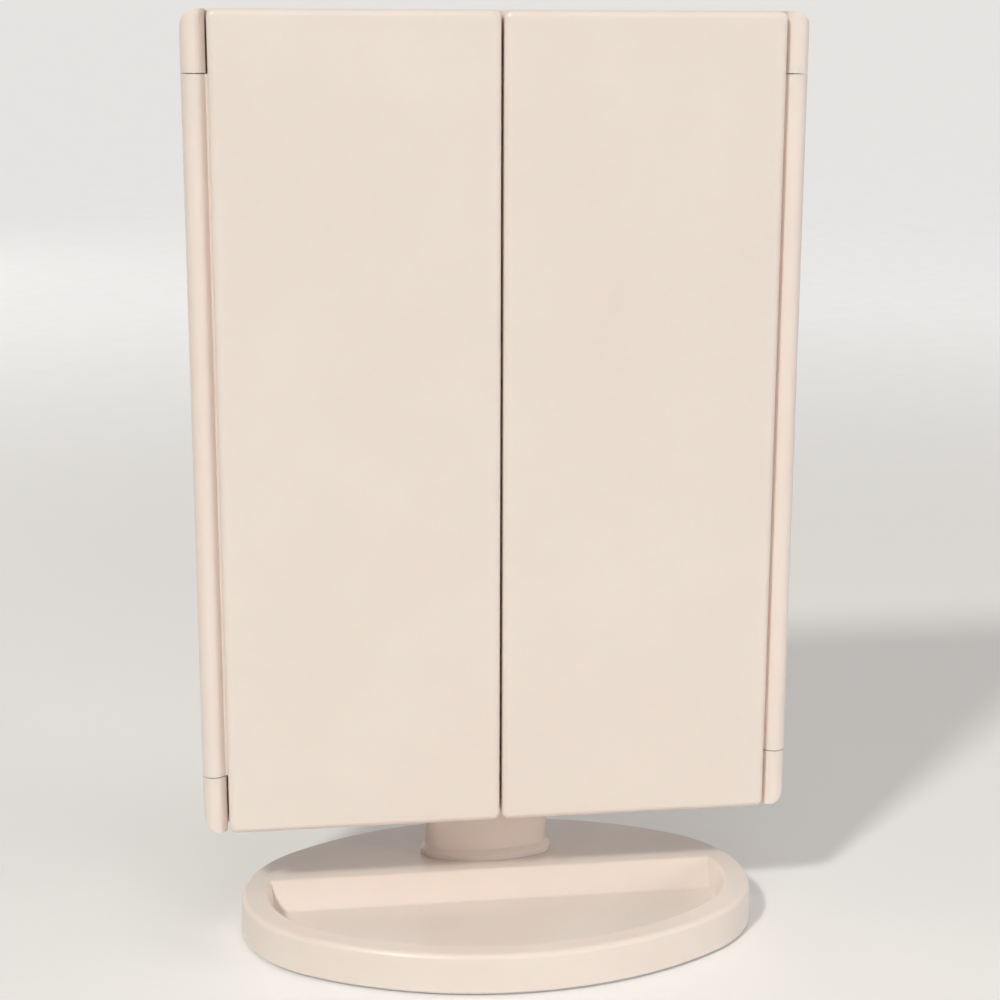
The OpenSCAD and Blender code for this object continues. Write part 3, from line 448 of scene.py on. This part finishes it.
class Tree(NodeTree):
    """A geometry-nodes tree under construction, with a named input for each of its sizes. Its
    shapes start as balls, blocks, rods and lines of plain size, which move() then draws out."""

    def __init__(self, name, **inputs):
        super().__init__(bpy.data.node_groups.new(name, "GeometryNodeTree"))
        face = self.tree.interface
        face.new_socket("places", in_out="INPUT", socket_type="NodeSocketGeometry")
        for key, value in inputs.items():
            kind = {int: "Int", float: "Float", tuple: "Vector"}[type(value)]
            face.new_socket(key, in_out="INPUT",
                            socket_type="NodeSocket" + kind).default_value = value
        face.new_socket("pieces", in_out="OUTPUT", socket_type="NodeSocketGeometry")
        self.given = self.tree.nodes.new("NodeGroupInput").outputs

    def position(self):
        """The x, y and z of each point of the shape that is moved with them."""
        place = self.add("GeometryNodeInputPosition")
        return self.add("ShaderNodeSeparateXYZ", {0: place}).node.outputs

    def triple(self, x, y, z):
        return self.add("ShaderNodeCombineXYZ", {0: x, 1: y, 2: z})

    def block(self, x, y, z):
        return self.add("GeometryNodeMeshCube", {"Size": self.triple(x, y, z)})

    def ball(self, segments, rings):
        return self.add("GeometryNodeMeshUVSphere",
                        {"Segments": segments, "Rings": rings, "Radius": 1.0})

    def sweep(self, path, outline):
        """A solid with closed ends: the outline carried along the path."""
        return self.add("GeometryNodeCurveToMesh", {
            "Curve": path, "Profile Curve": outline, "Fill Caps": True})

    def move(self, shape, x, y, z):
        return self.add("GeometryNodeSetPosition",
                        {"Geometry": shape, "Position": self.triple(x, y, z)})

    def shift(self, shape, place=(0, 0, 0), turn=(0, 0, 0)):
        return self.add("GeometryNodeTransform",
                        {"Geometry": shape, "Translation": place, "Rotation": turn})

    def lift(self, shape, height):
        return self.shift(shape, self.triple(0.0, 0.0, height))

    def merge(self, *shapes):
        return self.add("GeometryNodeMeshBoolean", {1: list(shapes)}, operation="UNION",
                        solver="EXACT")

    def cut(self, shape, *tools):
        return self.add("GeometryNodeMeshBoolean", {0: shape, 1: list(tools)},
                        operation="DIFFERENCE", solver="EXACT")

    def join(self, *shapes):
        return self.add("GeometryNodeJoinGeometry", {0: list(shapes)})

    def at_places(self, shape, turn=(0, 0, 0)):
        """A copy of the shape at each of the given places."""
        return self.add("GeometryNodeInstanceOnPoints", {
            "Points": self.given["places"], "Instance": shape, "Rotation": turn})

    def finish(self, instances, material, **marked):
        """Real meshes in their material, which is where every tree here ends. marked gives the
        faces that carry a mark of that name a material of their own."""
        real = self.add("GeometryNodeRealizeInstances", {"Geometry": instances})
        real = self.add("GeometryNodeSetMaterial", {"Geometry": real, "Material": material})
        for mark, own_material in marked.items():
            carried = self.add("GeometryNodeInputNamedAttribute", {"Name": mark},
                               data_type="BOOLEAN")
            real = self.add("GeometryNodeSetMaterial", {
                "Geometry": real, "Selection": carried, "Material": own_material})
        self.tree.links.new(real, self.tree.nodes.new("NodeGroupOutput").inputs[0])
        return self.tree


def screw_tree(material):
    """A cross-headed screw with a rolled thread at each place. Before the turn the head's outer
    face is at z = 0 and the shank's end at z = length. Each screw also has a turn of its own
    about its length."""
    t = Tree("cross_screws", head_radius=0.0027, head_height=0.0015, shank_radius=0.0014,
             length=0.01, pitch=0.0009, turn=(0.0, 0.0, 0.0), seed=1)
    head_r, head_h = t.given["head_radius"], t.given["head_height"]
    length, pitch = t.given["length"], t.given["pitch"]
    dome_part, root, tip = 0.62, 0.78, 0.6      # of the head's height and the shank's radius
    slot_long, slot_wide, slot_deep = 1.2, 0.34, 0.55     # of the head's radius and height
    slot_taper = 0.62                   # how wide the recess is at its bottom
    crest, valley = 0.08, 0.42          # in pitches, from the middle of the thread's ridge
    run_in, run_out = 0.3, 1.6          # in pitches, of the thread's start and of the tip

    # The ball's lower half is the dome, and its upper half is the flat face under the head.
    x, y, z = t.position()
    dome = t.times(t.plus(z, 1.0), t.times(head_h, dome_part))
    under = t.calc("GREATER_THAN", z, 0.001)
    face = t.plus(t.times(t.minus(1.0, under), dome), t.times(under, head_h))
    head = t.move(t.ball(32, 12), t.times(x, head_r), t.times(y, head_r), face)

    # A rod from the middle of the head, with seven rings of points to a turn of the thread.
    start = t.times(head_h, 0.5)
    depth = t.minus(length, start)
    rings = t.calc("ROUND", t.times(t.calc("DIVIDE", depth, pitch), 7.0))
    rod = t.add("GeometryNodeMeshCylinder", {"Vertices": 24, "Side Segments": rings,
                                             "Radius": 1.0, "Depth": depth})
    x, y, z = t.position()
    up = t.plus(z, t.plus(start, t.times(depth, 0.5)))
    heading = t.times(t.calc("ARCTAN2", y, x), 1 / math.tau)
    phase = t.calc("FRACT", t.minus(t.calc("DIVIDE", up, pitch), heading))
    ridge = t.ramp(t.calc("ABSOLUTE", t.minus(phase, 0.5)), crest, valley, 1.0, 0.0)
    begins = t.ramp(up, t.plus(head_h, t.times(pitch, run_in)), t.plus(head_h, pitch))
    around = t.plus(root, t.times(t.times(ridge, begins), 1 - root))
    taper = t.ramp(up, t.minus(length, t.times(pitch, run_out)), length, 1.0, tip)
    radius = t.times(t.times(around, taper), t.given["shank_radius"])
    shank = t.move(rod, t.times(x, radius), t.times(y, radius), up)

    # Two crossed bars, narrower at their bottom, cut the recess.
    x, y, z = t.position()
    narrow = t.ramp(z, 0.0, 0.1 * MM, 1.0, slot_taper)
    bar = t.block(t.times(head_r, slot_long), t.times(head_r, slot_wide),
                  t.times(head_h, 2 * slot_deep))
    bar = t.move(bar, t.times(x, narrow), t.times(y, narrow), z)
    crossed = t.shift(bar, turn=(0, 0, math.pi / 2))
    screw = t.cut(t.merge(head, shank), t.merge(bar, crossed))

    # Inputs 2 and 3 and output 1 of the random value are its plain numbers.
    own_turn = t.add("FunctionNodeRandomValue", {2: 0.0, 3: math.tau,
                                                 "Seed": t.given["seed"]}, 1)
    screws = t.add("GeometryNodeRotateInstances", {
        "Instances": t.at_places(screw, t.given["turn"]),
        "Rotation": t.triple(0.0, 0.0, own_turn)})
    return t.finish(screws, material)


def contact_tree(material):
    """The two contacts of each battery, about its middle: below, a plate with a spring wound
    into a cone; above, a plate with a pressed boss. Every other battery is turned over."""
    t = Tree("battery_springs", plate=0.008, thickness=0.0005, reach=0.0267, boss_radius=0.0016,
             boss_reach=0.0223, wire=0.00028, wide=0.0035, narrow=0.0018, turns=4.5)
    reach, thick, wire = t.given["reach"], t.given["thickness"], t.given["wire"]
    corner = 0.14                                 # of the plate's width
    blunting, squaring, squarest = 0.55, -0.15, 1.6       # powers, and the second's limit
    fillet, fillet_from = 1.35, -0.25             # how wide the boss's foot is, and from where
    flat_turns = 0.12                             # of the spring's length, at either end

    outline = t.add("GeometryNodeCurvePrimitiveQuadrilateral", {
        "Width": t.given["plate"], "Height": t.given["plate"]})
    outline = t.add("GeometryNodeFilletCurve", {
        "Curve": outline, "Count": 5, "Radius": t.times(t.given["plate"], corner)}, mode="POLY")
    path = t.add("GeometryNodeCurvePrimitiveLine", {
        "Start": (0, 0, 0), "End": t.triple(0.0, 0.0, thick)})
    plate = t.sweep(path, outline)
    upper = t.lift(plate, t.minus(reach, thick))
    lower = t.lift(plate, t.times(reach, -1.0))

    # The boss is a ball made blunt towards the cell and flared where it meets its plate.
    x, y, z = t.position()
    boss_h = t.minus(t.minus(reach, t.times(thick, 0.5)), t.given["boss_reach"])
    blunt = t.calc("POWER", t.calc("ABSOLUTE", z), blunting)
    across = t.calc("POWER", t.calc("MAXIMUM", t.minus(1.0, t.times(z, z)), 0.0), squaring)
    across = t.calc("MINIMUM", across, squarest)
    widen = t.times(t.times(across, 0.93), t.given["boss_radius"])
    flare = t.ramp(z, fillet_from, 0.0, 1.0, fillet)
    below = t.times(t.times(blunt, t.calc("SIGN", z)), boss_h)
    boss = t.move(t.ball(24, 24), t.times(t.times(x, widen), flare),
                  t.times(t.times(y, widen), flare),
                  t.calc("MINIMUM", t.plus(t.minus(reach, t.times(thick, 0.5)), below),
                         t.minus(reach, t.times(thick, 0.3))))
    boss_end = t.merge(upper, boss)

    # Half a turn lies flat at each end of the spring, on its plate and against the cell.
    line = t.add("GeometryNodeCurvePrimitiveLine")
    line = t.add("GeometryNodeResampleCurve", {"Curve": line, "Count": 150})
    along = t.add("GeometryNodeSplineParameter")
    angle = t.times(t.times(along, t.given["turns"]), math.tau)
    coil = t.ramp(along, 0.0, 1.0, t.given["wide"], t.given["narrow"])
    seat = t.plus(t.minus(thick, reach), t.times(wire, 0.9))
    crown = t.minus(t.times(t.given["boss_reach"], -1.0), wire)
    rise = t.ramp(along, flat_turns, 1 - flat_turns, seat, crown)
    line = t.move(line, t.times(coil, t.calc("COSINE", angle)),
                  t.times(coil, t.calc("SINE", angle)), rise)
    round_wire = t.add("GeometryNodeCurvePrimitiveCircle", {"Resolution": 10, "Radius": wire})
    spring = t.sweep(line, round_wire)

    index = t.add("GeometryNodeInputIndex")
    over = t.times(t.calc("MODULO", index, 2.0), math.pi)
    pairs = t.at_places(t.join(boss_end, lower, spring), t.triple(over, 0.0, 0.0))
    return t.finish(pairs, material)


def lamp_tree(case, resin):
    """A small lamp at each place: a square case with one corner cut and a domed drop of resin
    in its cup. Before the turn its back is at z = 0."""
    t = Tree("corner_cut_lamps", width=0.003, height=0.0009, cup=0.0012, cup_depth=0.0004,
             turn=(0.0, 0.0, 0.0))
    width, height = t.given["width"], t.given["height"]
    cup, depth = t.given["cup"], t.given["cup_depth"]
    corner_cut, drop_fit, sunk = 0.16, 0.97, 0.2      # of the width, the cup and its depth

    case_block = t.lift(t.block(width, width, height), t.times(height, 0.5))
    corner = t.shift(t.block(width, width, 0.01), t.triple(width, width, 0.0),
                     (0, 0, math.pi / 4))
    near = t.times(width, -corner_cut)
    corner = t.shift(corner, t.triple(near, near, 0.0))
    bore = t.add("GeometryNodeMeshCylinder", {
        "Vertices": 20, "Radius": cup, "Depth": t.times(depth, 2.0)})
    body = t.cut(case_block, t.lift(bore, height), corner)

    # The ball's upper half is the dome, and its lower half is pressed flat into the cup.
    x, y, z = t.position()
    floor = t.minus(height, t.times(depth, 1.1))
    dome = t.plus(floor, t.times(t.calc("MAXIMUM", z, 0.0), depth))
    pressed = t.times(t.calc("LESS_THAN", z, -0.001), t.times(depth, sunk))
    drop_r = t.times(cup, drop_fit)
    drop = t.move(t.ball(20, 10), t.times(x, drop_r), t.times(y, drop_r),
                  t.minus(dome, pressed))
    drop = t.add("GeometryNodeStoreNamedAttribute", {
        "Geometry": drop, "Name": "resin", "Value": True}, data_type="BOOLEAN", domain="FACE")
    return t.finish(t.at_places(t.join(body, drop), t.given["turn"]), case, resin=resin)


def foot_tree(material):
    """A round rubber foot at each place, with rings pressed into the face it stands on."""
    t = Tree("ringed_feet", radius=0.006, height=0.001, rings=3.0, groove=0.0003)
    rim_from, rim_round = 0.9, 0.35     # where its edge begins to round, and of its height

    # polar goes from 0 in the middle of the lower face over 1 at the rim to 2 above.
    x, y, z = t.position()
    polar = t.times(t.calc("ARCCOSINE", t.times(z, -1.0)), 2 / math.pi)
    upper = t.calc("GREATER_THAN", polar, 1.001)
    out = t.calc("MINIMUM", t.calc("MINIMUM", t.times(t.minus(2.0, polar), 1.1), polar), 1.0)
    wave = t.calc("SINE", t.times(t.times(polar, t.given["rings"]), math.tau))
    groove = t.times(t.calc("MAXIMUM", wave, 0.0), t.given["groove"])
    rim = t.times(t.ramp(polar, rim_from, 1.0), t.times(t.given["height"], rim_round))
    face = t.plus(t.times(t.minus(1.0, upper), t.plus(groove, rim)),
                  t.times(upper, t.given["height"]))
    size = t.times(out, t.given["radius"])
    heading = t.calc("ARCTAN2", y, x)
    foot = t.move(t.ball(48, 44), t.times(size, t.calc("COSINE", heading)),
                  t.times(size, t.calc("SINE", heading)), face)
    return t.finish(t.at_places(foot), material)


def separate_boxes(node):
    """The boxes of a CAD node's separate solids, as (lowest, highest) corners, left to right.
    Points closer than weld are one, and boxes that start within 0.01 mm start level."""
    weld, level_digits = 1e-7, 5
    rough = bmesh.new()
    rough.from_mesh(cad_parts[node].data)
    bmesh.ops.remove_doubles(rough, verts=rough.verts, dist=weld)
    waiting = set(rough.verts)
    boxes = []
    while waiting:
        solid = [waiting.pop()]
        for vert in solid:
            for edge in vert.link_edges:
                other = edge.other_vert(vert)
                if other in waiting:
                    waiting.remove(other)
                    solid.append(other)
        boxes.append(tuple(Vector([pick(v.co[k] for v in solid) for k in range(3)])
                           for pick in (min, max)))
    rough.free()
    return sorted(boxes, key=lambda box: tuple(round(c, level_digits) for c in box[0]))


def grow(name, tree, places, body, node, slot, **sizes):
    """The tree's pieces at these places, as one plain mesh that stands for a CAD node."""
    sharp_edge = math.radians(38)
    points = bpy.data.meshes.new(name + "_places")
    points.from_pydata([tuple(place) for place in places], [], [])
    piece = bpy.data.objects.new(name, points)
    bpy.context.scene.collection.objects.link(piece)
    modifier = piece.modifiers.new(name, "NODES")
    modifier.node_group = tree
    sockets = {item.name: item.identifier for item in tree.interface.items_tree}
    for key, value in sizes.items():
        modifier[sockets[key]] = value
    bpy.context.view_layer.update()
    ready = piece.evaluated_get(bpy.context.evaluated_depsgraph_get())
    mesh = bpy.data.meshes.new_from_object(ready)
    piece.modifiers.clear()
    piece.data = mesh
    mesh.shade_smooth()
    mesh.set_sharp_from_angle(angle=sharp_edge)
    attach(piece, body)
    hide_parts(node)


# How a piece is turned, so that what lies at its z = 0 faces the back or the ground.
FACING_BACK = (math.pi / 2, 0.0, 0.0)
FACING_DOWN = (0.0, 0.0, 0.0)


def add_screws():
    """Length and head width come from the CAD screws. Those along y have their heads at the
    back of the casing, and those along z have them under the base."""
    tree = screw_tree(FINISHES["steel"])
    along_y, along_z = 1, 2
    sets = (
        # name, body, node, axis, head height, shank radius and pitch in mm, seed
        ("case_screws", "head", "casing_screws", along_y, 1.5, 1.4, 1.0, 3),
        ("cover_screws", "base", "base_screws", along_z, 0.75, 1.25, 0.9, 5),
        ("column_screws", "base", "neck_screws", along_z, 2.0, 1.6, 1.2, 8),
    )
    for name, body, node, axis, head_h, shank_r, pitch, seed in sets:
        boxes = separate_boxes(node)
        places = []
        for low, high in boxes:
            place = (low + high) / 2
            place[axis] = high.y if axis == along_y else low.z
            places.append(place)
        low, high = boxes[0]
        grow(name, tree, places, body, node, "steel", head_radius=(high.x - low.x) / 2,
             head_height=head_h * MM, shank_radius=shank_r * MM, length=high[axis] - low[axis],
             pitch=pitch * MM, turn=FACING_BACK if axis == along_y else FACING_DOWN, seed=seed)


def add_contacts():
    """Springs and plates at the ends of the four batteries."""
    boss_gap = 0.05 * MM
    cells = [(low + high) / 2 for low, high in separate_boxes("batteries")]
    cell_low, cell_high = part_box("batteries")
    low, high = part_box("battery_contacts")
    plate_low, plate_high = separate_boxes("battery_contacts")[0]
    grow("cell_springs", contact_tree(FINISHES["brass"]), cells, "head", "battery_contacts",
         "brass", plate=plate_high.x - plate_low.x, reach=(high.z - low.z) / 2,
         boss_reach=(cell_high.z - cell_low.z) / 2 + boss_gap)


def add_lamps():
    """The 21 lamps round the centre pane, with their backs on the strips behind them."""
    boxes = separate_boxes("led_chips")
    places = [Vector(((low.x + high.x) / 2, high.y, (low.z + high.z) / 2))
              for low, high in boxes]
    low, high = boxes[0]
    grow("corner_cut_lamps", lamp_tree(FINISHES["lamp_case"], FINISHES["lamp"]), places, "head",
         "led_chips", "lamp", width=high.x - low.x, height=high.y - low.y, turn=FACING_BACK)


def add_feet():
    """The four feet under the base."""
    boxes = separate_boxes("base_feet")
    places = [Vector(((low.x + high.x) / 2, (low.y + high.y) / 2, low.z))
              for low, high in boxes]
    low, high = boxes[0]
    grow("ringed_feet", foot_tree(FINISHES["rubber"]), places, "base", "base_feet", "rubber",
         radius=(high.x - low.x) / 2, height=high.z - low.z)


# ---------- The scene ----------

bpy.context.scene.view_settings.view_transform = "Standard"
add_camera()
FINISHES = make_finishes()
add_stage()
add_lights()
finish_nodes()
add_screws()
add_contacts()
add_lamps()
add_feet()
